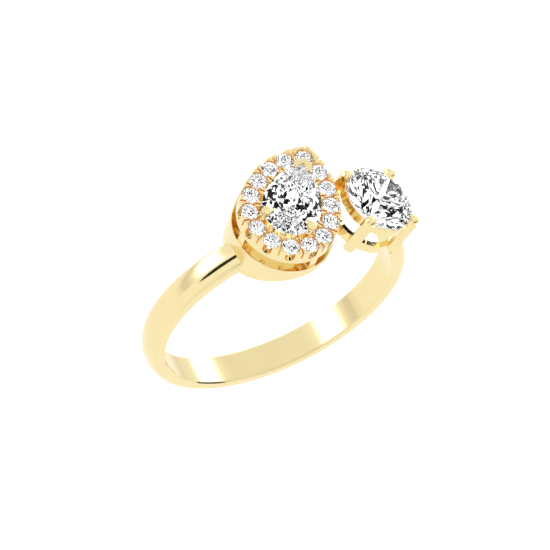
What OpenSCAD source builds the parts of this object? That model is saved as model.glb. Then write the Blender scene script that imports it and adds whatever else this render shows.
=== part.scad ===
// Open toi et moi ring: one gold mount with a pear head in a halo and a round head on four posts

/* [Band] */
// Inside diameter of the finger hole
finger_d = 16.5; // [15:0.1:20]
// Width of the band along the finger
band_w = 2.1; // [1.6:0.05:2.6]
// Thickness of the band in the middle of its width
band_t = 1.16; // [1:0.02:1.4]
// Radius of the round over the band's width
crown_r = 1.6; // [1.4:0.05:2.5]
// Radius of the band's rounded shoulders
shoulder_r = 0.55; // [0.4:0.01:0.7]
// Bevel at the two edges of the finger hole
edge_bevel = 0.08; // [0.04:0.01:0.12]
// How much thicker the band is at its lower right than at its upper left
swell = 0.16; // [0:0.01:0.3]

/* [Pear head] */
// Angle from the top of the ring round to the pear head
pear_at = 14.4; // [10:0.1:18]
// Lean of the pear head's face away from the round head
pear_lean = 9.24; // [0:0.1:14]
// Turn of the pear's long axis from the line of the finger
pear_turn = 37.2; // [30:0.1:45]
// Distance of the head's middle behind the middle of the band
pear_back = 1.13; // [0.8:0.01:1.4]
// Height of the halo stones' girdles over the finger hole
pear_rise = 2.5; // [2.2:0.05:3.2]
// Radius of the pear stone's round end
bow_r = 2; // [1.7:0.05:2.2]
// Radius of the pear stone's long flanks
flank_r = 4.6; // [4:0.05:5.4]
// From the head's middle back to the centre of the round end
bow_y = 1.1; // [0.9:0.05:1.3]
// Height of the pear stone's girdle over the halo's girdles
pear_lift = 0.33; // [0.25:0.01:0.6]

/* [Halo] */
// Number of halo stones, one of them at the tip
halo_n = 15; // [13:2:15]
// Diameter of a halo stone
halo_d = 1.2; // [0.9:0.02:1.22]
// From the pear stone's edge out to the line of the halo stones
halo_gap = 0.77; // [0.7:0.01:0.9]
// Width of the metal outside the line of the halo stones
halo_rim = 0.65; // [0.6:0.01:0.9]
// Spacing from the tip stone to the next one on each side
tip_pitch = 1.5; // [1.4:0.02:1.6]
// How far the tip stone sits inwards from the line of the others
tip_in = 0.22; // [0:0.02:0.26]
// Height of the prong tops over the halo's girdles
prong_h = 0.18; // [0.1:0.01:0.3]
// Width of the slits that split the shared prongs
slit_w = 0.13; // [0.06:0.01:0.16]
// Depth of the slits under the halo's girdles
slit_deep = 0.42; // [0.3:0.01:0.6]
// Width of the scallop under each halo stone
scallop_w = 0.62; // [0.4:0.01:0.7]
// Depth of the scallops under the halo's girdles
scallop_deep = 0.7; // [0.5:0.01:0.8]

/* [Cup under the halo] */
// Height of the halo's plate under its girdles
plate_h = 1; // [0.85:0.05:1.2]
// Height of the windows between plate and base
window_h = 0.8; // [0.4:0.05:0.9]
// Thickness of the cup's wall
cup_wall = 1.1; // [0.8:0.05:1.25]
// Width of the pillars between the windows
pillar_w = 0.6; // [0.4:0.05:0.9]
// How far the base stands out under the windows
base_out = 0.1; // [0.05:0.01:0.2]
// Height of the ledge under the pear stone, over the plate's underside
ledge_h = 0.58; // [0.5:0.02:0.6]
// Width of that ledge inwards from the pear stone's edge
ledge_w = 0.5; // [0.3:0.05:0.6]

/* [Claws of the pear stone] */
// Halo stones on each side from the tip stone to the claw
claw_after = 5; // [4:1:5]
// Width of a claw
claw_w = 0.66; // [0.5:0.02:0.7]
// Height of the claws over the pear stone's girdle
claw_rise = 0.72; // [0.65:0.01:0.8]
// Reach of a claw inwards over the stone
claw_reach = 0.56; // [0.4:0.02:0.6]
// Length of each arm of the tip's claw across the head
arm_x = 0.62; // [0.5:0.05:0.9]
// Width of the tip's claw
arm_w = 0.36; // [0.3:0.02:0.5]
// Diameter of the bead that holds the tip's halo stone
bead_d = 0.36; // [0.3:0.02:0.44]
// Distance of the bead inwards from the halo's outer tip
bead_in = 0.13; // [0.1:0.01:0.2]

/* [Round head] */
// Angle from the top of the ring round to the round head
round_at = 18.65; // [17:0.1:24]
// Lean of the round head's face away from the pear head
round_lean = 10; // [5:0.1:15]
// Height of the round stone's girdle over the finger hole
round_rise = 2.88; // [2.7:0.02:3.4]
// Diameter of the round stone
round_d = 5; // [4.6:0.05:5.3]
// Width of a post
post_w = 0.76; // [0.7:0.02:1]
// Depth of a post from its outside face inwards
post_t = 0.6; // [0.56:0.02:0.8]
// How far a post stands out from the stone's edge
post_out = 0.56; // [0.4:0.02:0.7]
// Diameter of the round button on each post
button_d = 0.8; // [0.7:0.02:1]
// Height of the button tops over the girdle
button_rise = 0.5; // [0.4:0.02:0.7]
// Drop of the upper rail's top under the girdle
rail_drop = 0.05; // [0.04:0.01:0.2]
// Slope at which the feet of two posts rise outside the band
foot_a = 24; // [10:1:40]
// Height of each of the two rails
rail_h = 0.68; // [0.5:0.02:0.8]
// Open height between the two rails
rail_gap = 1.12; // [0.8:0.02:1.3]
// Thickness of the upper rail, which the stone sits in
rail_t = 0.75; // [0.5:0.05:0.9]
// Thickness of the lower rail
low_rail_t = 0.4; // [0.3:0.05:0.6]

/* [Stones] */
// Width of a stone's table as a share of the stone's width
table_share = 0.56; // [0.5:0.01:0.62]
// Angle of the crown's main facets
crown_a = 34; // [30:0.5:36]
// Angle of the pavilion's main facets
pavilion_a = 40.8; // [40:0.1:42]
// Thickness of a girdle as a share of the stone's width
girdle_share = 0.03; // [0.02:0.005:0.05]
// Gap between a stone and the metal round it
seat_gap = 0.05; // [0.03:0.01:0.08]

/* [Rest] */
// Way round the band to the spot it rests on, as the weight lies
rest_turn = -7; // [-16:0.5:4]

/* [Hidden] */
// Way round to the thickest part of the band, from the ring's right
swell_at = -33;

finger_r = finger_d / 2;
crown_c = finger_r + band_t - crown_r;
shoulder_y = band_w / 2 - shoulder_r;
shoulder_x = crown_c + sqrt(pow(crown_r - shoulder_r, 2) - pow(shoulder_y, 2));
shoulder_a = atan(shoulder_y / (shoulder_x - crown_c));
pear_dist = finger_r + pear_rise;
flank_x = flank_r - bow_r;
cup_edge = halo_gap + halo_rim;
cup_in = cup_edge - cup_wall;
path_bow = bow_r + halo_gap;
path_flank = flank_r + halo_gap;
flank_len = path_flank * acos(flank_x / path_flank) * PI / 180;
half_len = flank_len + path_bow * PI / 2;
halo_half = (halo_n - 1) / 2;
halo_pitch = (half_len - tip_pitch) / (halo_half - 0.5);
head_side = pear_dist * sin(pear_at - pear_lean);
head_up = pear_dist * cos(pear_at - pear_lean);
cup_reach = head_side + bow_y * sin(pear_turn) + bow_r + cup_edge;
cup_deep = head_up - finger_r * cos(asin(min(0.95, cup_reach / finger_r))) + 0.3;
band_left = 90 + pear_lean + asin(min(0.9, (head_side + bow_y * sin(pear_turn)) / finger_r));
band_right = 90 - round_at;
round_dist = finger_r + round_rise;
round_r = round_d / 2;
post_r = round_r + post_out;
rail_r = round_r + 0.08;
hole_r = rail_r - rail_t;
low_hole_r = rail_r - low_rail_t;
round_side = round_dist * sin(round_at - round_lean);
round_up = round_dist * cos(round_at - round_lean);
foot_x = post_r / sqrt(2);
foot_near = (post_r + post_w / 2) / sqrt(2);
foot_side = (post_r - post_w / 2) / sqrt(2);
foot_far = round_side + foot_x + post_w / 2;
post_deep = round_up - finger_r * cos(asin(min(0.95, foot_far / finger_r))) + 0.3;

// Spot at the foot of the pear head's tip that the ring rests on
spot_back = pear_back + flank_r + cup_edge + base_out - flank_x * sin(pear_turn) - bow_y * cos(pear_turn);
spot_side = flank_x * cos(pear_turn) - bow_y * sin(pear_turn) - head_side;
spot_round = pear_lean - asin(spot_side / finger_r);
rest_reach = finger_r * cos(spot_round + rest_turn) + shoulder_x + swell / 2 * cos(90 + rest_turn + swell_at);
rest_drop = spot_back - shoulder_y;
rest_lean = atan(rest_drop / rest_reach) - asin(shoulder_r / sqrt(pow(rest_reach, 2) + pow(rest_drop, 2)));

// How far a claw's middle lies inwards from the pear stone's edge
claw_in = 0.06;

// Facets of a brilliant cut: how far the star and lower corners lie outside a plain cone, and how far
// the lower corners reach in towards the middle
star_bulge = 1.24;
culet_bulge = 1.02;
lower_share = 0.23;

// Lower corners of the pear cut, outer and inner: their share of the way out, and how far they bulge
outer_share = 0.62;
outer_bulge = 1.14;
inner_share = 0.3;
inner_bulge = 1.07;

// Sides of round forms, and a length past the whole ring
fine = 96;
far = 60;

gold = "gold";
ice = "azure";

function halo_name(i) = str("halo_stone_", i < 10 ? "0" : "", i);

// Distance from the head's middle to the tip of the pear outline that lies e outside the stone
function pear_tip(e) = sqrt(pow(flank_r + e, 2) - pow(flank_x, 2)) - bow_y;

// Place and outward direction on the line of the halo stones, s round from the tip, as [x, y, angle]
function halo_point(s) =
    s < flank_len
        ? let (a = acos(flank_x / path_flank) - s / path_flank * 180 / PI)
            [path_flank * cos(a) - flank_x, path_flank * sin(a) - bow_y, a]
        : let (a = -(s - flank_len) / path_bow * 180 / PI)
            [path_bow * cos(a), path_bow * sin(a) - bow_y, a];

// Way from the tip to halo stone k of one side, where 0 is the tip stone
function halo_s(k) = k == 0 ? 0 : tip_pitch + (k - 1) * halo_pitch;

// Way from the tip to the slit after halo stone k
function slit_s(k) = k == 0 ? tip_pitch / 2 : halo_s(k) + halo_pitch / 2;

// Puts children in the pear head's frame: tip along +Y, face up, halo girdles at height 0
module at_pear() {
    rotate(pear_at) translate([0, pear_dist, -pear_back])
        rotate(pear_lean - pear_at) rotate([-90, 0, 0]) rotate(-pear_turn) children();
}

// Puts children in the round head's frame: face up, girdle at height 0
module at_round() {
    rotate(-round_at) translate([0, round_dist, 0])
        rotate(round_at - round_lean) rotate([-90, 0, 0]) children();
}

// Puts children at way s round the halo, with +X pointing outwards
module at_halo(s, side = 1) {
    p = halo_point(s);
    mirror([side < 0 ? 1 : 0, 0, 0])
        translate([p[0], s == 0 ? p[1] - tip_in : p[1], 0]) rotate(s == 0 ? 90 : p[2]) children();
}

// Outline of the pear stone, grown by e
module pear_outline(e) {
    reach = far / 2;
    intersection() {
        translate([0, -bow_y]) circle(r = bow_r + e, $fn = fine);
        translate([-reach, -bow_y - reach]) square([far, reach]);
    }
    intersection() {
        translate([-flank_x, -bow_y]) circle(r = flank_r + e, $fn = fine * 2);
        translate([flank_x, -bow_y]) circle(r = flank_r + e, $fn = fine * 2);
        translate([-reach, -bow_y]) square([far, reach]);
    }
}

module pear_prism(e, low, high) {
    translate([0, 0, low]) linear_extrude(high - low) pear_outline(e);
}

// Halo stones, slits and pillars, each as [way round from the tip, side]
stone_ways = [for (k = [0:halo_half], side = [1, -1]) if (k > 0 || side > 0) [halo_s(k), side]];
slit_ways = [for (k = [0:halo_half], side = [1, -1]) if (k < halo_half || side > 0) [slit_s(k), side]];
pillar_ways = [for (share = [0, 0.387, 0.775], side = [1, -1]) [half_len * share, side]];

// Section of the band: flat sides at the finger hole, round shoulders and a low round over the width
module band_section() {
    reach = 2 * crown_r;
    half = band_w / 2;
    deep = finger_r - band_t / 4;
    translate([crown_c, 0]) intersection() {
        circle(r = crown_r, $fn = fine);
        polygon([
            [0, 0], [reach * cos(shoulder_a), -reach * sin(shoulder_a)],
            [reach * cos(shoulder_a), reach * sin(shoulder_a)]
        ]);
    }
    for (side = [-1, 1]) translate([shoulder_x, side * shoulder_y]) circle(r = shoulder_r, $fn = fine);
    polygon([
        [deep, edge_bevel - half], [finger_r, edge_bevel - half], [finger_r + edge_bevel, -half],
        [shoulder_x, -half], [shoulder_x, half],
        [finger_r + edge_bevel, half], [finger_r, half - edge_bevel], [deep, half - edge_bevel]
    ]);
}

module band() {
    translate([cos(swell_at), sin(swell_at), 0] * swell / 2)
        rotate_extrude(angle = 360 - band_left + band_right, start = band_left, $fn = 180) band_section();
}

// Space that a cut stone needs round its girdle, where the metal is notched
module stone_room(r) {
    wide = r + seat_gap;
    half = girdle_share * r + seat_gap;
    deep = half + wide * tan(pavilion_a);
    high = half + wide * tan(crown_a);
    rotate_extrude($fn = fine) polygon([[0, -deep], [wide, -half], [wide, half], [0, high]]);
}

// Drilled seat of one halo stone, open to the cup below
module halo_seat() {
    wide = halo_d / 2 + seat_gap;
    half = girdle_share * halo_d / 2 + seat_gap;
    drill = halo_d * 0.16;
    rotate_extrude($fn = 32)
        polygon([
            [0, -plate_h - 0.2], [drill, -plate_h - 0.2], [drill, -half - (wide - drill) * tan(pavilion_a)],
            [wide, -half], [wide, 1], [0, 1]
        ]);
}

// Round bottomed cut across the halo under one stone
module scallop() {
    inside = halo_gap + 0.1;
    translate([-inside, 0, 0]) rotate([90, 0, 90]) linear_extrude(inside + halo_rim + 0.3) {
        translate([0, scallop_w / 2 - scallop_deep]) circle(d = scallop_w, $fn = 32);
        translate([-scallop_w / 2, scallop_w / 2 - scallop_deep]) square([scallop_w, 1 + scallop_deep]);
    }
}

// Narrow cut across the halo between two stones
module slit() {
    inside = halo_gap + 0.1;
    translate([-inside, -slit_w / 2, -slit_deep]) cube([inside + halo_rim + 0.3, slit_w, 1 + slit_deep]);
}

// Open ring of windows between the halo's plate and the base, without the pillars
module windows() {
    inside = halo_gap + 1;
    difference() {
        pear_prism(cup_edge + 0.2, -plate_h - window_h, -plate_h);
        for (w = pillar_ways)
            at_halo(w[0], w[1]) translate([-inside, -pillar_w / 2, -plate_h - window_h - 0.1])
                cube([inside + halo_rim + 0.5, pillar_w, window_h + 0.2]);
    }
}

// Halo plate and wall, still solid under the windows
module cup() {
    difference() {
        union() {
            pear_prism(cup_edge, -plate_h - window_h - 0.1, prong_h);
            pear_prism(cup_edge + base_out, -cup_deep, -plate_h - window_h);
        }
        pear_prism(0, ledge_h - plate_h, prong_h + 1);
        pear_prism(-ledge_w, -plate_h - 0.1, prong_h);
        windows();
        for (w = stone_ways) at_halo(w[0], w[1]) halo_seat();
        for (w = stone_ways) if (w[0] > 0) at_halo(w[0], w[1]) scallop();
        for (w = slit_ways) at_halo(w[0], w[1]) slit();
    }
    difference() {
        translate([0, pear_tip(cup_edge) - bead_in, prong_h - 0.05]) sphere(d = bead_d, $fn = 24);
        at_halo(0) stone_room(halo_d / 2);
    }
}

module cup_hollow() {
    pear_prism(cup_in, -cup_deep - 1, -plate_h - window_h / 2);
}

// Claw that leans in over the pear stone, a wedge from above with a domed top, inwards along -X
module claw() {
    wide = claw_w / 2;
    top = pear_lift + claw_rise;
    dome = claw_reach + 0.05;
    intersection() {
        translate([0, 0, -plate_h / 2]) linear_extrude(plate_h / 2 + top) {
            circle(r = wide, $fn = 32);
            polygon([[0, wide], [-claw_reach, 0.1], [-claw_reach, -0.1], [0, -wide]]);
        }
        union() {
            translate([-0.08, 0, -plate_h]) cylinder(r = dome, h = plate_h + top - dome, $fn = 48);
            translate([-0.08, 0, top - dome]) sphere(r = dome, $fn = 48);
        }
    }
}

module claws() {
    difference() {
        for (side = [1, -1]) at_halo(slit_s(claw_after), side) translate([-halo_gap - claw_in, 0, 0]) claw();
        translate([0, -bow_y, pear_lift]) stone_room(bow_r);
    }
}

// Claw bent round the pear stone's tip
module tip_claw() {
    low = prong_h - 0.1;
    step = halo_d * 0.2 + seat_gap;
    girdle_top = pear_lift + girdle_share * bow_r + seat_gap;
    out = arm_w / 2;
    intersection() {
        difference() {
            union() {
                pear_prism(halo_gap - halo_d / 2 - seat_gap, low, girdle_top + 0.36);
                pear_prism(out, step, girdle_top + 0.36);
            }
            pear_prism(seat_gap, low - 1, girdle_top + 0.15);
            pear_prism(out - arm_w, low - 1, girdle_top + 1);
            at_halo(0) stone_room(halo_d / 2);
        }
        translate([-arm_x, 0, 0]) cube([2 * arm_x, far, far]);
    }
}

// Distance from the ring's axis to the underside of the feet, at way a along the axis
function foot_edge(a) = finger_r + (a - band_w / 2) * tan(foot_a);

// Height of that underside in the round head's frame, at x and way a along the axis
function foot_z(x, a) = sqrt(pow(foot_edge(a), 2) - pow(x + round_side, 2)) - round_up;

// One post of the round head, along +X from the middle, with the height of its underside on each side
module post(low_right, low_left) {
    half = post_w / 2;
    top = rail_drop + 0.15;
    translate([post_r - post_t, 0, 0]) rotate([90, 0, 90]) linear_extrude(post_t)
        polygon([[-half, low_right], [half, low_left], [half, top], [-half, top]]);
    intersection() {
        translate([post_r - button_d / 2, 0, button_rise - button_d / 2]) sphere(d = button_d, $fn = 48);
        translate([0, -button_d, -rail_drop - 0.1]) cube([post_r + 1, 2 * button_d, 2]);
    }
}

module rail(top) {
    translate([0, 0, top - rail_h]) cylinder(r = rail_r, h = rail_h, $fn = fine);
}

module basket() {
    low_top = -rail_drop - rail_h - rail_gap;
    free_low = low_top - rail_h - 0.32 + post_w / 2;
    rail(-rail_drop);
    rail(low_top);
    for (side = [0, 1]) mirror([0, side, 0]) {
        rotate(45) post(foot_z(foot_near, foot_side), foot_z(foot_side, foot_near));
        rotate(135) post(free_low, free_low);
        rotate(135) translate([post_r - post_t, 0, free_low]) rotate([0, 90, 0])
            cylinder(d = post_w, h = post_t, $fn = 48);
    }
}

// Fills the corner between the band's end and the two posts that stand on it
module shoulder() {
    half = band_w / 2;
    low = half - 0.4;
    high = foot_near + 0.1;
    out = finger_r + band_t;
    tip = foot_near + foot_side - half;
    top = -rail_drop - rail_h - rail_gap - rail_h / 2;
    intersection() {
        at_round() translate([0, 0, -post_deep]) linear_extrude(post_deep + top)
            polygon([
                [hole_r, -foot_side], [foot_near, -foot_side], [tip, -half],
                [tip, half], [foot_near, foot_side], [hole_r, foot_side]
            ]);
        rotate_extrude($fn = 180)
            polygon([
                [foot_edge(low), -low], [foot_edge(high), -high], [out, -high],
                [out, high], [foot_edge(high), high], [foot_edge(low), low]
            ]);
    }
}

module basket_hollow() {
    deep = post_deep + 1;
    stone_room(round_r);
    translate([0, 0, -deep]) cylinder(r = hole_r, h = deep, $fn = fine);
    translate([0, 0, -deep]) cylinder(r = low_hole_r, h = deep - rail_drop - rail_h, $fn = fine);
}

module mount_metal() {
    difference() {
        union() {
            band();
            shoulder();
            at_pear() cup();
            at_round() basket();
        }
        at_pear() cup_hollow();
        at_round() basket_hollow();
        cylinder(r = finger_r, h = far, center = true, $fn = 180);
    }
    at_pear() claws();
    at_pear() tip_claw();
}

function between(a, b, t) = [a[0] + (b[0] - a[0]) * t, a[1] + (b[1] - a[1]) * t];
function lifted(p, z) = [p[0], p[1], z];

// Corners of a brilliant's crown and girdle, ring by ring: 8 table, 8 star, 32 upper and 32 lower girdle
// edge = 32 points round the girdle, mid = where the facets run together, r = half of the stone's width
function crown_points(edge, mid, r) =
    let (
        half = girdle_share * r,
        up = r * tan(crown_a),
        star = (1 + table_share * cos(22.5)) / 2
    )
    concat(
        [for (k = [0:4:31]) lifted(between(mid, edge[k], table_share), half + (1 - table_share) * up)],
        [for (k = [2:4:31]) lifted(between(mid, edge[k], star), half + (1 - star) * up * star_bulge)],
        [for (k = [0:31]) lifted(edge[k], half - (k % 2) * half / 2)],
        [for (k = [0:31]) lifted(edge[k], -half + (k % 2) * half / 2)]
    );

crown_faces = concat(
    [[for (k = [7:-1:0]) k]],
    [for (k = [0:7]) [k, (k + 1) % 8, 8 + k]],
    [for (k = [0:7]) [k, 8 + k, 16 + 4 * k]],
    [for (k = [0:7]) [k, 16 + 4 * k, 8 + (k + 7) % 8]],
    [for (k = [0:7], j = [0:3]) [8 + k, 16 + (4 * k + j + 1) % 32, 16 + 4 * k + j]],
    [for (k = [0:31]) [16 + k, 16 + (k + 1) % 32, 48 + (k + 1) % 32, 48 + k]]
);

// Round brilliant: 8 lower corners from number 80 on, then the culet
module round_brilliant(d) {
    r = d / 2;
    half = girdle_share * r;
    down = r * tan(pavilion_a);
    edge = [for (k = [0:31]) r * [cos(k * 11.25), sin(k * 11.25)]];
    lower = [
        for (k = [2:4:31]) lifted(lower_share * edge[k], -half - (1 - lower_share) * down * culet_bulge)
    ];
    polyhedron(
        concat(crown_points(edge, [0, 0], r), lower, [[0, 0, -half - down]]),
        concat(
            crown_faces,
            [for (k = [0:7], j = [0:3]) [48 + 4 * k + j, 48 + (4 * k + j + 1) % 32, 80 + k]],
            [for (k = [0:7]) [48 + 4 * k, 80 + k, 88]],
            [for (k = [0:7]) [88, 80 + (k + 7) % 8, 48 + 4 * k]]
        )
    );
}

// Girdle of the pear stone: 32 points at even steps from the tip round
function pear_edge_point(s) =
    let (long = flank_r * acos(flank_x / flank_r) * PI / 180)
    s < long
        ? let (a = acos(flank_x / flank_r) - s / flank_r * 180 / PI)
            [flank_r * cos(a) - flank_x, flank_r * sin(a) - bow_y]
        : let (a = -(s - long) / bow_r * 180 / PI) [bow_r * cos(a), bow_r * sin(a) - bow_y];

pear_half = (flank_r * acos(flank_x / flank_r) + bow_r * 90) * PI / 180;

pear_edge = [
    for (k = [0:31])
        let (p = pear_edge_point(pear_half * (k <= 16 ? k : 32 - k) / 16))
        [k <= 16 ? -p[0] : p[0], p[1]]
];

// The pear's facets run down to a keel along its length: its corners' places, from the tip to the culet
keel_tip = pear_tip(0) * 0.6;
keel_culet = -bow_y * 0.6;
keel_mid = (keel_tip + keel_culet) / 2;

// Depth of the keel under the girdle at place y, as deep as the stone is wide there
function keel_deep(y) =
    (sqrt(pow(flank_r, 2) - pow(y + bow_y, 2)) - flank_x) * tan(pavilion_a);

// Corner of the pear's lower facets inwards from girdle point k, at a share of the way out from the keel
function pear_lower(k, share, bulge) =
    let (y = max(keel_culet, min(keel_tip, pear_edge[k][1] * 0.9)))
    lifted(between([0, y], pear_edge[k], share), -girdle_share * bow_r - (1 - share) * keel_deep(y) * bulge);

// Pear brilliant: 16 outer corners from number 80 on, 16 inner ones from 96 on and 3 along the keel
module pear_brilliant() {
    outer = [for (k = [0:15]) pear_lower(2 * k + 1, outer_share, outer_bulge)];
    inner = [for (k = [0:15]) pear_lower(2 * k, inner_share, inner_bulge)];
    keel = [for (y = [keel_tip, keel_mid, keel_culet]) [0, y, -girdle_share * bow_r - keel_deep(y)]];
    // number of the keel corner that inner corner k runs to
    foot = [for (k = [0:15]) 112 + (min(k, 16 - k) < 2 ? 0 : min(k, 16 - k) < 4 ? 1 : 2)];
    polyhedron(
        concat(crown_points(pear_edge, [0, keel_culet], bow_r), outer, inner, keel),
        concat(
            crown_faces,
            [for (k = [0:15], j = [0, 1]) [48 + 2 * k + j, 48 + (2 * k + j + 1) % 32, 80 + k]],
            [for (k = [0:15]) [80 + k, 48 + (2 * k + 2) % 32, 80 + (k + 1) % 16]],
            [for (k = [0:15]) [80 + k, 80 + (k + 1) % 16, 96 + (k + 1) % 16]],
            [for (k = [0:15]) [96 + k, 80 + k, 96 + (k + 1) % 16]],
            [for (k = [0:15]) [96 + k, 96 + (k + 1) % 16, foot[k]]],
            [
                for (k = [0:15])
                    if (foot[k] != foot[(k + 1) % 16]) [foot[k], 96 + (k + 1) % 16, foot[(k + 1) % 16]]
            ]
        )
    );
}

// Lays the ring down on its side: on the pear head's tip and on the rim of the band
module at_rest() {
    rotate([rest_lean, 0, 0]) rotate(rest_turn) children();
}

module gold_mount() {
    color(gold) at_rest() mount_metal();
}

module pear_stone() {
    color(ice) at_rest() at_pear() translate([0, 0, pear_lift]) pear_brilliant();
}

module round_stone() {
    color(ice) at_rest() at_round() round_brilliant(round_d);
}

module halo_stone(i) {
    w = stone_ways[i - 1];
    color(ice) at_rest() at_pear() at_halo(w[0], w[1]) round_brilliant(halo_d);
}

gold_mount();
pear_stone();
round_stone();
for (i = [1:halo_n])
    halo_stone(i);
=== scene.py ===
import math

import bpy
from mathutils import Matrix, Vector


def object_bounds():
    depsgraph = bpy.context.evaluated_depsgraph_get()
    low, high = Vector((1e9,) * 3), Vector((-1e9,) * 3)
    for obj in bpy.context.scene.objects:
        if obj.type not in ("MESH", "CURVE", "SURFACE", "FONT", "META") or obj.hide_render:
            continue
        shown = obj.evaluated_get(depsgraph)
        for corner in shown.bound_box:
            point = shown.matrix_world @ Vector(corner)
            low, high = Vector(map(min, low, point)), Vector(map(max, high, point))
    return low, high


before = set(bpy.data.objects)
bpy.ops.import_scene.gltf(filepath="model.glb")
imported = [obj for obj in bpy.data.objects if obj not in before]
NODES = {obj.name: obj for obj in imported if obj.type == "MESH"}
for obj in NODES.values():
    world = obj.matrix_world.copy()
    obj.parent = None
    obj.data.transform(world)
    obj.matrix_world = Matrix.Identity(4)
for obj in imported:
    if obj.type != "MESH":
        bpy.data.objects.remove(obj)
CAD_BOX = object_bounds()

bl_info = {
    "name": "Toi et moi ring",
    "version": (1, 0, 0),
    "blender": (4, 5, 0),
    "location": "View3D > Sidebar > Ring",
    "description": "Finishes the gold mount and its diamonds, and lights them on a pale floor",
    "category": "Object",
}

MM = 0.001
HALO = sorted(name for name in NODES if name.startswith("halo_stone"))

# How the ring lies: tipped about X onto the pear head's foot, after a small turn about the finger's line
REST_LEAN = math.radians(12.3795)
REST_TURN = math.radians(-7.0)
LYING = Matrix.Rotation(REST_LEAN, 3, "X") @ Matrix.Rotation(REST_TURN, 3, "Z")

# How far the pear head and the round head lean off the ring's top, about the finger's line
PEAR_LEAN = math.radians(9.24)
ROUND_LEAN = math.radians(-10.0)


def head_up(lean):
    """Direction that a head's face looks in, as the ring lies."""
    return LYING @ Vector((-math.sin(lean), math.cos(lean), 0.0))


def linear(code):
    """sRGB hex colour as the linear red, green and blue that shaders take."""
    parts = [int(code[i:i + 2], 16) / 255 for i in (1, 3, 5)]
    return [c / 12.92 if c <= 0.04045 else ((c + 0.055) / 1.055) ** 2.4 for c in parts]


def add_node(tree, kind, settings=None, sockets=None, links=None):
    """Adds a node, gives it its settings and socket values, and links outputs of others to its inputs."""
    made = tree.nodes.new(kind)
    for key, value in (settings or {}).items():
        setattr(made, key, value)
    for key, value in (sockets or {}).items():
        made.inputs[key].default_value = value
    for key, source in (links or {}).items():
        tree.links.new(source, made.inputs[key])
    return made


def new_material(name):
    """Empty material with its output node."""
    material = bpy.data.materials.new(name)
    material.use_nodes = True
    material.node_tree.nodes.clear()
    return material, material.node_tree, add_node(material.node_tree, "ShaderNodeOutputMaterial")


def ramp(tree, source, stops):
    """Colour ramp over [place, linear colour] stops."""
    made = add_node(tree, "ShaderNodeValToRGB", links={"Fac": source})
    band = made.color_ramp
    while len(band.elements) < len(stops):
        band.elements.new(0.5)
    for element, (place, colour) in zip(band.elements, stops):
        element.position = place
        element.color = (*colour, 1.0)
    return made


# Strength of the painted glow in the halo's crevices and in the cup under it, and of the paper's own light
CREVICE_GLOW = 0.06
CUP_GLOW = 0.5
PAPER_GLOW = 0.6

# Height of the underside of the halo's plate over the ring's middle, along the way the pear head looks
PLATE_HEIGHT = 9.75 * MM


def polished_gold(colours):
    """14 carat yellow gold, cast and mirror polished: soft clouds of tone and hairlines from the buff."""
    material, tree, out = new_material("yellow_gold_14ct_polished")
    place = add_node(tree, "ShaderNodeTexCoord").outputs["Object"]
    # clouds of about 2 mm, where the buff has leant more or less
    clouds = add_node(
        tree, "ShaderNodeTexNoise", sockets={"Scale": 1 / (2 * MM), "Detail": 3.0}, links={"Vector": place},
    )
    open_tone = add_node(
        tree, "ShaderNodeMix", {"data_type": "RGBA"},
        {"A": (*colours.gold, 1.0), "B": (*colours.gold_warm, 1.0)}, {"Factor": clouds.outputs["Fac"]},
    )
    # painted shade: crevices found by occlusion are painted a deeper, more orange tone, standing in for light
    # mirrored many times between the gold's walls
    crevice = add_node(
        tree, "ShaderNodeAmbientOcclusion", {"samples": 8}, sockets={"Distance": 0.7 * MM},
    )
    painted_shade_and_glow_mask = add_node(
        tree, "ShaderNodeMapRange", sockets={"From Min": 0.75, "From Max": 0.25, "To Min": 0.0, "To Max": 1.0},
        links={"Value": crevice.outputs["AO"]},
    )
    tone = add_node(
        tree, "ShaderNodeMix", {"data_type": "RGBA"}, {"B": (*colours.gold_painted_shade, 1.0)},
        {"Factor": painted_shade_and_glow_mask.outputs["Result"], "A": open_tone.outputs["Result"]},
    )
    # edges softened by the buff
    edge = add_node(tree, "ShaderNodeBevel", {"samples": 4}, sockets={"Radius": 0.05 * MM})
    # hairlines about 0.05 mm apart; real ones are finer
    lines = add_node(
        tree, "ShaderNodeTexNoise", sockets={"Scale": 1 / (0.05 * MM), "Detail": 2.0}, links={"Vector": place},
    )
    gloss = add_node(
        tree, "ShaderNodeMapRange", sockets={"To Min": 0.045, "To Max": 0.1},
        links={"Value": lines.outputs["Fac"]},
    )
    skin = add_node(
        tree, "ShaderNodeBump", sockets={"Strength": 0.02, "Distance": 0.02 * MM},
        links={"Height": lines.outputs["Fac"], "Normal": edge.outputs["Normal"]},
    )
    # painted light: the crevices glow a little, standing in for the light that many mirrorings bring back out
    # of them, and glow more under the halo's plate
    rise = add_node(
        tree, "ShaderNodeVectorMath", {"operation": "DOT_PRODUCT"}, {1: head_up(PEAR_LEAN)}, {0: place},
    )
    under = add_node(
        tree, "ShaderNodeMapRange",
        sockets={
            "From Min": PLATE_HEIGHT, "From Max": PLATE_HEIGHT - 0.15 * MM,
            "To Min": CREVICE_GLOW, "To Max": CUP_GLOW,
        },
        links={"Value": rise.outputs["Value"]},
    )
    glow = add_node(
        tree, "ShaderNodeMath", {"operation": "MULTIPLY"},
        links={0: painted_shade_and_glow_mask.outputs["Result"], 1: under.outputs["Result"]},
    )
    metal = add_node(
        tree, "ShaderNodeBsdfPrincipled",
        sockets={"Metallic": 1.0, "Emission Color": (*colours.gold_glow, 1.0)},
        links={
            "Base Color": tone.outputs["Result"], "Roughness": gloss.outputs["Result"],
            "Normal": skin.outputs["Normal"], "Emission Strength": glow.outputs[0],
        },
    )
    tree.links.new(metal.outputs["BSDF"], out.inputs["Surface"])
    return material


# Surface reflection kept low, so that the dark facets stay dark
FAINT_MIRROR = (0.05, 0.05, 0.05, 1.0)


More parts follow.
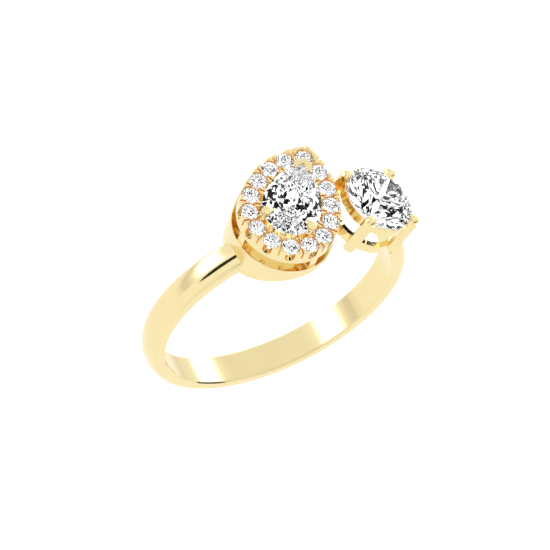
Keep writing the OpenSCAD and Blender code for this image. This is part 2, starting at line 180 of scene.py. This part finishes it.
def cut_diamond(name, up, colours):
    """Colourless diamond: facets polished clear, and a girdle that is ground a little dull."""
    material, tree, out = new_material(name)
    facing = add_node(tree, "ShaderNodeNewGeometry").outputs["True Normal"]
    tilt = add_node(tree, "ShaderNodeVectorMath", {"operation": "DOT_PRODUCT"}, {1: up}, {0: facing})
    # girdle walls stand upright, so their tilt is close to nothing
    side = add_node(tree, "ShaderNodeMath", {"operation": "ABSOLUTE"}, links={0: tilt.outputs["Value"]})
    dull = add_node(
        tree, "ShaderNodeMapRange", sockets={"From Min": 0.05, "From Max": 0.2, "To Min": 0.3, "To Max": 0.0},
        links={"Value": side.outputs[0]},
    )
    stone = add_node(
        tree, "ShaderNodeBsdfPrincipled",
        sockets={
            "Base Color": (*colours.diamond, 1.0), "IOR": 2.417, "Transmission Weight": 1.0,
            "Specular Tint": FAINT_MIRROR,
        },
        links={"Roughness": dull.outputs["Result"]},
    )
    tree.links.new(stone.outputs["BSDF"], out.inputs["Surface"])
    return material


def pale_paper(colours):
    """Matt white sweep of studio paper."""
    material, tree, out = new_material("matt_white_paper")
    place = add_node(tree, "ShaderNodeTexCoord").outputs["Object"]
    # paper tooth of about 0.5 mm
    tooth = add_node(
        tree, "ShaderNodeTexNoise", sockets={"Scale": 1 / (0.5 * MM), "Detail": 2.0}, links={"Vector": place},
    )
    shade = [c * 0.985 for c in colours.floor]
    tone = ramp(tree, tooth.outputs["Fac"], [(0.3, shade), (0.7, list(colours.floor))])
    paper = add_node(
        tree, "ShaderNodeBsdfPrincipled",
        sockets={
            "Roughness": 0.9, "Specular IOR Level": 0.2, "Emission Color": (1.0, 1.0, 1.0, 1.0),
            "Emission Strength": PAPER_GLOW,
        },
        links={"Base Color": tone.outputs["Color"]},
    )
    tree.links.new(paper.outputs["BSDF"], out.inputs["Surface"])
    return material


def card_mask(tree, way, card):
    """Mask of an oval card: its middle as a direction, how slim it is each way, its reach and its soft rim."""
    middle, slim, reach, rim = card
    off = add_node(tree, "ShaderNodeVectorMath", {"operation": "SUBTRACT"}, {1: middle}, {0: way})
    oval = add_node(
        tree, "ShaderNodeVectorMath", {"operation": "MULTIPLY"}, {1: slim}, {0: off.outputs["Vector"]},
    )
    far = add_node(tree, "ShaderNodeVectorMath", {"operation": "LENGTH"}, links={0: oval.outputs["Vector"]})
    mask = add_node(
        tree, "ShaderNodeMapRange", sockets={"From Min": reach, "From Max": reach - rim},
        links={"Value": far.outputs["Value"]},
    )
    return mask.outputs["Result"]


def give(node, material):
    """Puts one material on a CAD node's object."""
    mesh = NODES[node].data
    mesh.materials.clear()
    mesh.materials.append(material)


class RingColours(bpy.types.PropertyGroup):
    """Colours of the metal, the stones and the floor"""

    gold: bpy.props.FloatVectorProperty(
        name="Gold", description="Tone of the polished gold", subtype="COLOR",
        default=linear("#F0DFAC"), min=0, max=1,
    )
    gold_warm: bpy.props.FloatVectorProperty(
        name="Warm gold", description="Deeper tone in the clouds of the polish", subtype="COLOR",
        default=linear("#EBD8A2"), min=0, max=1,
    )
    # painted shade: the deeper tone that the crevices are painted in
    gold_painted_shade: bpy.props.FloatVectorProperty(
        name="Deep gold", description="Tone in the crevices", subtype="COLOR",
        default=linear("#F0C878"), min=0, max=1,
    )
    # painted light: colour of the glow painted into the crevices
    gold_glow: bpy.props.FloatVectorProperty(
        name="Glow of the gold", description="Light that the crevices send back", subtype="COLOR",
        default=linear("#F0D090"), min=0, max=1,
    )
    diamond: bpy.props.FloatVectorProperty(
        name="Diamond", description="Tint of the stones", subtype="COLOR",
        default=linear("#FDFDFE"), min=0, max=1,
    )
    floor: bpy.props.FloatVectorProperty(
        name="Floor", description="Colour of the paper floor", subtype="COLOR",
        default=linear("#FAFAF8"), min=0, max=1,
    )


# Width of the picture in dots, and how many of them a millimetre of the ring takes
PICTURE_WIDTH = 550
DOTS_PER_MM = 15.12


class RingStage(bpy.types.PropertyGroup):
    """Camera, lights and floor"""

    distance: bpy.props.FloatProperty(
        name="Camera distance", description="From the ring to the camera", unit="LENGTH",
        default=1.5, min=0.3, max=5,
    )
    view_width: bpy.props.FloatProperty(
        name="View width", description="Width that the picture shows at the ring", unit="LENGTH",
        default=PICTURE_WIDTH / DOTS_PER_MM * MM, min=0.02, max=0.2,
    )
    dome: bpy.props.FloatProperty(
        name="Dome light", description="Strength of the white dome", default=1.13, min=0, max=10,
    )
    floor_light: bpy.props.FloatProperty(
        name="Floor light", description="Strength of the dome on matt surfaces", default=1.12, min=0, max=10,
    )


class RING_OT_mount(bpy.types.Operator):
    """Polishes the gold mount and softens its edges"""

    bl_idname = "ring.mount"
    bl_label = "Gold mount"

    def execute(self, context):
        give("gold_mount", polished_gold(context.scene.ring_colours))
        # the stones send back the tent's light, not the gold under them, as in the photograph
        NODES["gold_mount"].visible_transmission = False
        return {"FINISHED"}


class RING_OT_centre_stones(bpy.types.Operator):
    """Gives the pear and the round diamond their material"""

    bl_idname = "ring.centre_stones"
    bl_label = "Pear and round diamond"

    def execute(self, context):
        colours = context.scene.ring_colours
        give("pear_stone", cut_diamond("diamond_pear_cut", head_up(PEAR_LEAN), colours))
        give("round_stone", cut_diamond("diamond_round_cut", head_up(ROUND_LEAN), colours))
        return {"FINISHED"}


class RING_OT_halo_stones(bpy.types.Operator):
    """Gives the small diamonds of the halo their material"""

    bl_idname = "ring.halo_stones"
    bl_label = "Halo diamonds"

    def execute(self, context):
        small = cut_diamond("diamond_halo_cut", head_up(PEAR_LEAN), context.scene.ring_colours)
        for node in HALO:
            give(node, small)
        return {"FINISHED"}


# The photograph's camera: its right and up directions in the ring's own frame, and where its middle looks
VIEW_RIGHT = Vector((0.8267, 0.3861, 0.4093))
VIEW_UP = Vector((0.1348, 0.5703, -0.8103))
LOOK_RIGHT = 0.1422 * MM
LOOK_UP = 1.4845 * MM


# Lights below the ring as [degrees round, brightness], and the brightness of the two lamps among them
LAMP = 3.0
LAMPS = [
    (-180, 0.86), (-170, 1.0), (-20, 1.0), (-8, 0.82), (2, 0.92), (12, 1.0), (19, LAMP), (34, LAMP), (44, 1.0),
    (54, 0.88), (126, 0.9), (136, 1.0), (144, LAMP), (156, LAMP), (166, 1.0), (174, 0.76),
]

# Black cards, each as its middle, how slim it is each way, its reach and its soft rim: one beside the lens,
# which draws the dark streak in the band, and one overhead, which draws a line round the finger hole's edge
SIDE_CARD = ((-0.820344, 0.532737, 0.207912), (1.0, 1.0, 2.6), 0.4, 0.06)
TOP_CARD = ((0.42, 0.0, 0.8), (1.0, 5.0, 1.0), 0.8, 0.1)
CARD_BLACK = (0.02, 0.02, 0.02, 1.0)

# Panels that the diamonds send back: where their pattern starts, how many in a unit of direction, their
# strength, and where in the draw of lots the grey and the white ones begin
PANEL_START = (0.4, 0.3, 0.9)
PANEL_SCALE = 6.0
PANEL_LIGHT = 1.6
GREY_FROM = 0.44
WHITE_FROM = 0.58


def grey(level):
    """Neutral colour of one brightness."""
    return (level, level, level)


class RING_OT_stage(bpy.types.Operator):
    """Sets the floor, the studio dome and the camera"""

    bl_idname = "ring.stage"
    bl_label = "Floor, light and camera"

    def execute(self, context):
        scene = context.scene
        self.floor(scene)
        self.dome(scene)
        self.camera(scene)
        # light goes round inside the diamonds many times before it comes out
        scene.cycles.max_bounces = 32
        scene.cycles.glossy_bounces = 24
        scene.cycles.transmission_bounces = 32
        scene.view_settings.view_transform = "Standard"
        scene.view_settings.look = "None"
        return {"FINISHED"}

    def floor(self, scene):
        size = 3.0
        low = CAD_BOX[0][2]
        mesh = bpy.data.meshes.new("floor")
        corners = [(-size, -size, low), (size, -size, low), (size, size, low), (-size, size, low)]
        mesh.from_pydata(corners, [], [(0, 1, 2, 3)])
        mesh.materials.append(pale_paper(scene.ring_colours))
        floor = bpy.data.objects.new("floor", mesh)
        scene.collection.objects.link(floor)
        # the gold and the diamonds mirror the lights below the ring, not the paper
        floor.visible_glossy = False
        floor.visible_transmission = False

    def dome(self, scene):
        world = bpy.data.worlds.new("studio_dome")
        world.use_nodes = True
        tree = world.node_tree
        tree.nodes.clear()
        out = add_node(tree, "ShaderNodeOutputWorld")
        way = add_node(tree, "ShaderNodeTexCoord").outputs["Generated"]
        split = add_node(tree, "ShaderNodeSeparateXYZ", links={"Vector": way})
        height = split.outputs["Z"]
        # white tent, a little greyer overhead, and the lights below the ring
        overhead = ramp(tree, height, [(0.0, grey(1.0)), (0.6, grey(1.0)), (1.0, grey(0.85))])
        around = add_node(
            tree, "ShaderNodeMath", {"operation": "ARCTAN2"},
            links={0: split.outputs["Y"], 1: split.outputs["X"]},
        )
        turn = add_node(
            tree, "ShaderNodeMapRange", sockets={"From Min": -math.pi, "From Max": math.pi},
            links={"Value": around.outputs[0]},
        )
        places = [(degrees / 360 + 0.5, grey(level / LAMP)) for degrees, level in LAMPS]
        lamps = ramp(tree, turn.outputs["Result"], places)
        glow = add_node(
            tree, "ShaderNodeVectorMath", {"operation": "SCALE"}, {"Scale": LAMP}, {0: lamps.outputs["Color"]},
        )
        low = add_node(
            tree, "ShaderNodeMapRange", sockets={"From Min": -0.02, "From Max": -0.15},
            links={"Value": height},
        )
        tent = add_node(
            tree, "ShaderNodeMix", {"data_type": "RGBA"},
            links={
                "Factor": low.outputs["Result"], "A": overhead.outputs["Color"], "B": glow.outputs["Vector"],
            },
        )
        lit = tent
        for card in (SIDE_CARD, TOP_CARD):
            lit = add_node(
                tree, "ShaderNodeMix", {"data_type": "RGBA"}, {"B": CARD_BLACK},
                {"Factor": card_mask(tree, way, card), "A": lit.outputs["Result"]},
            )
        # what the diamonds send back: white and grey panels with dark gaps
        moved = add_node(tree, "ShaderNodeVectorMath", {"operation": "ADD"}, {1: PANEL_START}, {0: way})
        cells = add_node(
            tree, "ShaderNodeTexVoronoi", sockets={"Scale": PANEL_SCALE},
            links={"Vector": moved.outputs["Vector"]},
        )
        pick = add_node(tree, "ShaderNodeSeparateColor", links={"Color": cells.outputs["Color"]})
        tones = [(0.0, grey(0.0)), (GREY_FROM, grey(0.5)), (WHITE_FROM, grey(1.0))]
        panels = ramp(tree, pick.outputs[0], tones)
        panels.color_ramp.interpolation = "CONSTANT"
        bright = add_node(
            tree, "ShaderNodeVectorMath", {"operation": "SCALE"}, {"Scale": PANEL_LIGHT},
            {0: panels.outputs["Color"]},
        )
        path = add_node(tree, "ShaderNodeLightPath")
        both = add_node(
            tree, "ShaderNodeMix", {"data_type": "RGBA"},
            links={
                "Factor": path.outputs["Is Transmission Ray"], "A": lit.outputs["Result"],
                "B": bright.outputs["Vector"],
            },
        )
        level = add_node(
            tree, "ShaderNodeMapRange",
            sockets={"To Min": scene.ring_stage.dome, "To Max": scene.ring_stage.floor_light},
            links={"Value": path.outputs["Is Diffuse Ray"]},
        )
        light = add_node(
            tree, "ShaderNodeBackground",
            links={"Color": both.outputs["Result"], "Strength": level.outputs["Result"]},
        )
        tree.links.new(light.outputs["Background"], out.inputs["Surface"])
        scene.world = world

    def camera(self, scene):
        stage = scene.ring_stage
        right = LYING @ VIEW_RIGHT
        up = LYING @ VIEW_UP
        back = right.cross(up).normalized()
        look = right * LOOK_RIGHT + up * LOOK_UP
        data = bpy.data.cameras.new("camera")
        data.sensor_width = 36.0
        data.lens = data.sensor_width * stage.distance / stage.view_width
        data.clip_start = 0.05
        data.clip_end = 20.0
        camera = bpy.data.objects.new("camera", data)
        turn = Matrix((right, up, back)).transposed().to_4x4()
        camera.matrix_world = Matrix.Translation(look + back * stage.distance) @ turn
        scene.collection.objects.link(camera)
        scene.camera = camera


class RING_PT_pieces(bpy.types.Panel):
    """Lists the ring's pieces and the stage"""

    bl_idname = "RING_PT_pieces"
    bl_label = "Toi et moi ring"
    bl_space_type = "VIEW_3D"
    bl_region_type = "UI"
    bl_category = "Ring"

    def draw(self, context):
        for step in STEPS:
            self.layout.operator(step.bl_idname)


STEPS = (RING_OT_mount, RING_OT_centre_stones, RING_OT_halo_stones, RING_OT_stage)
CLASSES = (RingColours, RingStage, *STEPS, RING_PT_pieces)


def register():
    for made in CLASSES:
        bpy.utils.register_class(made)
    bpy.types.Scene.ring_colours = bpy.props.PointerProperty(type=RingColours)
    bpy.types.Scene.ring_stage = bpy.props.PointerProperty(type=RingStage)


def unregister():
    del bpy.types.Scene.ring_stage
    del bpy.types.Scene.ring_colours
    for made in reversed(CLASSES):
        bpy.utils.unregister_class(made)


def main():
    register()
    bpy.ops.ring.mount()
    bpy.ops.ring.centre_stones()
    bpy.ops.ring.halo_stones()
    bpy.ops.ring.stage()


if __name__ == "__main__":
    main()
